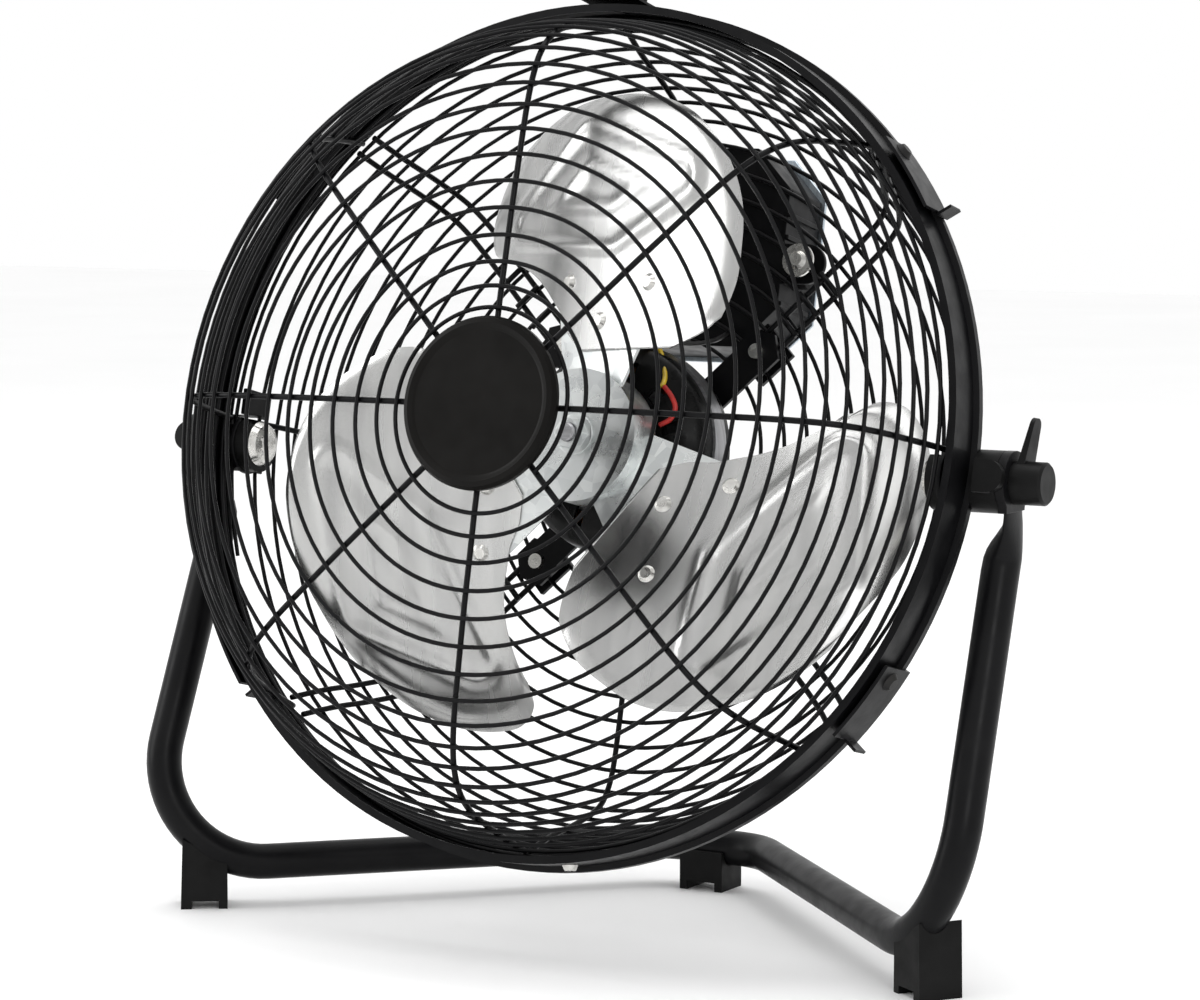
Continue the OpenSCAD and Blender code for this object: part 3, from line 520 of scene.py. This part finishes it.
def distance_to_rib(x, z):
    """How far a point is from the closed line through the rib's corners."""
    spot, nearest = Vector((x, z)), 1e9
    for a, b in zip(RIB_CORNERS, RIB_CORNERS[1:] + RIB_CORNERS[:1]):
        along = max(0.0, min(1.0, (spot - a).dot(b - a) / (b - a).length_squared))
        nearest = min(nearest, (spot - a - along * (b - a)).length)
    return nearest


def blade_height(x, z):
    """How far the sheet stands forward of its flat plane, in mm."""
    height = math.sqrt(CAMBER ** 2 - x ** 2) - CAMBER
    rib = (distance_to_rib(x, z) - 9.0) / 3.4
    height += 1.7 * math.exp(-rib * rib)
    return height


def curl(distance, width, drop):
    """The edge of the sheet rolls back over its last few millimetres."""
    return -drop * max(0.0, 1 - distance / width) ** 2


def on_blade(x, z, height, blade_number):
    """A point of a blade in the row frame: x along the chord, z out from the shaft, height forwards."""
    c, s = math.cos(BLADE_TILT), math.sin(BLADE_TILT)
    sideways, forward = x * c - height * s, x * s + height * c
    turn = math.radians(120 * blade_number)
    across = sideways * math.cos(turn) - z * math.sin(turn)
    up = sideways * math.sin(turn) + z * math.cos(turn)
    return FAN @ Vector((across * MM, (HUB_DEPTH - forward) * MM, up * MM))


def blade_grid(blade_number, rows=64, columns=72):
    points, faces = [], []
    for i in range(rows + 1):
        z, left, right = smooth_through(BLADE_ROWS, (len(BLADE_ROWS) - 1) * i / rows)
        for k in range(columns + 1):
            x = left + (right - left) * (0.5 - 0.5 * math.cos(math.pi * k / columns))
            height = blade_height(x, z)
            if z > 84:
                height += curl(min(x - left, 152.5 - math.hypot(x, z)), 11, 3.2)
            if z > 50:
                height += curl(right - x, 7, 1.8)
            points.append(on_blade(x, z, height, blade_number))
    for i in range(rows):
        for k in range(columns):
            a = i * (columns + 1) + k
            faces.append((a, a + 1, a + columns + 2, a + columns + 1))
    return points, faces


for number in range(3):
    blade = add_piece(
        f"blade_sheet_{number + 1}", *blade_grid(number), blade_sheet,
        "rotor", (f"blade_{number + 1}",), "blade_metal",
    )
    thick = blade.modifiers.new("sheet_thickness", "SOLIDIFY")
    thick.thickness, thick.offset = 1.1 * MM, -1
print("blades: 3")

# %% [markdown]
# ## Edges on the moulded and pressed pieces
#
# The pieces whose CAD shape is right keep it. Real edges are never knife sharp, so each such piece is welded
# where its faces meet and given a small bevel, which catches the light. Then every piece gets its finish.

# %% Soften edges and finish the carried-over pieces
SOFT_EDGES = {
    "band_clips": 0.35, "band_buckle": 0.4, "control_box": 0.8, "control_cover": 0.5, "foot_right": 1.0,
    "foot_left": 1.0, "foot_rear": 1.0, "lock_knob": 0.5, "pivot_nut": 0.3, "pivot_bosses": 0.5,
    "pivot_brackets": 0.4, "speed_knob": 0.6, "motor_bracket": 0.4, "bracket_clamps": 0.4, "hub_spider": 0.25,
    "motor_front_shell": 0.4, "motor_rear_shell": 0.4, "cord_gland": 0.3, "hub_nut": 0.3, "pivot_bolts": 0.4,
}
for name, width in SOFT_EDGES.items():
    piece = NODES[name]
    piece.modifiers.new("weld_faces", "WELD").merge_threshold = 0.00001
    soft = piece.modifiers.new("soft_edge", "BEVEL")
    soft.width, soft.segments, soft.limit_method, soft.angle_limit = width * MM, 2, "ANGLE", math.radians(35)
    piece.modifiers.new("even_shade", "WEIGHTED_NORMAL")

FINISHES = {
    powder_coat: [
        "rim_band", "band_clips", "band_buckle", "pivot_brackets", "motor_bracket", "bracket_clamps", "badge_plate",
    ],
    oxide_black: ["clip_screws", "pivot_nut"],
    badge_black: ["badge_cap"],
    moulded_black: ["pivot_bosses", "lock_knob", "speed_knob", "capacitor"],
    box_black: ["control_box"],
    foot_rubber: ["foot_right", "foot_left", "foot_rear", "cord_gland"],
    motor_enamel: ["motor_front_shell", "motor_rear_shell"],
    zinc_plate: ["badge_screw", "band_screw", "blade_rivets", "bracket_bolts", "box_washers", "pivot_bolts"],
    galvanised: ["hub_spider", "hub_nut"],
    core_steel: ["motor_shaft", "rotor_core", "stator_core"],
    copper_wire: ["stator_windings"],
    bronze_bush: ["front_bearing", "rear_bearing"],
    dial_face: ["control_cover"],
    switch_resin: ["speed_switch"],
}
for finish, names in FINISHES.items():
    for name in names:
        piece = NODES[name]
        if not piece.material_slots:
            piece.data.materials.append(finish)
        for place in piece.material_slots:
            place.link = "OBJECT"
            place.material = finish
print("finished nodes:", sum(len(names) for names in FINISHES.values()))

# %% [markdown]
# ## The motor's leads
#
# Three sleeved leads leave the motor's front shell and run back to the switch box. They are short and held at
# both ends, so they belong to the head like any other fixed piece.

# %% Lay the motor leads
LEADS = [
    ("lead_yellow", yellow_sleeve, [
        (10, 19, 47), (15, 26, 46), (19, 26, 41), (23, 22, 35), (26, 18, 30), (27, 14.5, 26),
    ]),
    ("lead_red", red_sleeve, [(28, 14.5, 26), (32, 14.5, 22), (34.5, 14.8, 17), (33, 14.6, 12), (28, 14.5, 9)]),
    ("lead_black", black_sleeve, [(8, 19, 48), (14, 30, 49), (22, 44, 50), (28, 56, 54), (30, 66, 60)]),
]
for name, finish, stops in LEADS:
    path = [FAN @ (Vector(smooth_through(stops, (len(stops) - 1) * k / 40)) * MM) for k in range(41)]
    add_piece(name, *sweep(path, 1.1 * MM, 10), finish, "head")
print("leads:", len(LEADS))

# %% [markdown]
# ## Floor and light
#
# A pale sheet runs under the fan, and a bright, even sky lights it from all sides as in a studio tent. Three
# soft panels add shape: a tall one from the left, one from the right front and a wide one from above.

# %% Lay the floor and hang the lights
floor_mesh = bpy.data.meshes.new("floor")
reach = 6.0
floor_corners = [(-reach, -reach, 0), (reach, -reach, 0), (reach, reach, 0), (-reach, reach, 0)]
floor_mesh.from_pydata(floor_corners, [], [(0, 1, 2, 3)])
floor = bpy.data.objects.new("floor", floor_mesh)
bpy.context.collection.objects.link(floor)
paper = new_finish("floor_paper", specular=0.2)
spread(paper, noise(paper, 3), (0.96, 0.96, 0.96), (0.98, 0.98, 0.98), "Base Color")
spread(paper, noise(paper, 20), 0.6, 0.7, "Roughness")
floor_mesh.materials.append(paper)

sky = bpy.data.worlds.new("studio")
sky.use_nodes = True
sky.node_tree.nodes["Background"].inputs["Color"].default_value = (1, 1, 1, 1)
sky.node_tree.nodes["Background"].inputs["Strength"].default_value = 1.0
bpy.context.scene.world = sky
bpy.context.scene.view_settings.view_transform = "Standard"


def soft_panel(name, where, size, watts):
    data = bpy.data.lights.new(name, "AREA")
    data.shape, data.size, data.size_y, data.energy = "RECTANGLE", size[0], size[1], watts
    lamp = bpy.data.objects.new(name, data)
    lamp.location = where
    lamp.rotation_euler = (Vector((0, 0, 0.2)) - Vector(where)).to_track_quat("-Z", "Y").to_euler()
    bpy.context.collection.objects.link(lamp)


soft_panel("left_panel", (-1.6, -0.9, 0.9), (0.7, 1.4), 11)
soft_panel("right_panel", (1.5, -1.6, 1.3), (0.6, 1.0), 8)
soft_panel("top_panel", (0.1, 0.1, 1.9), (1.4, 1.4), 12)
print("lights: 3")
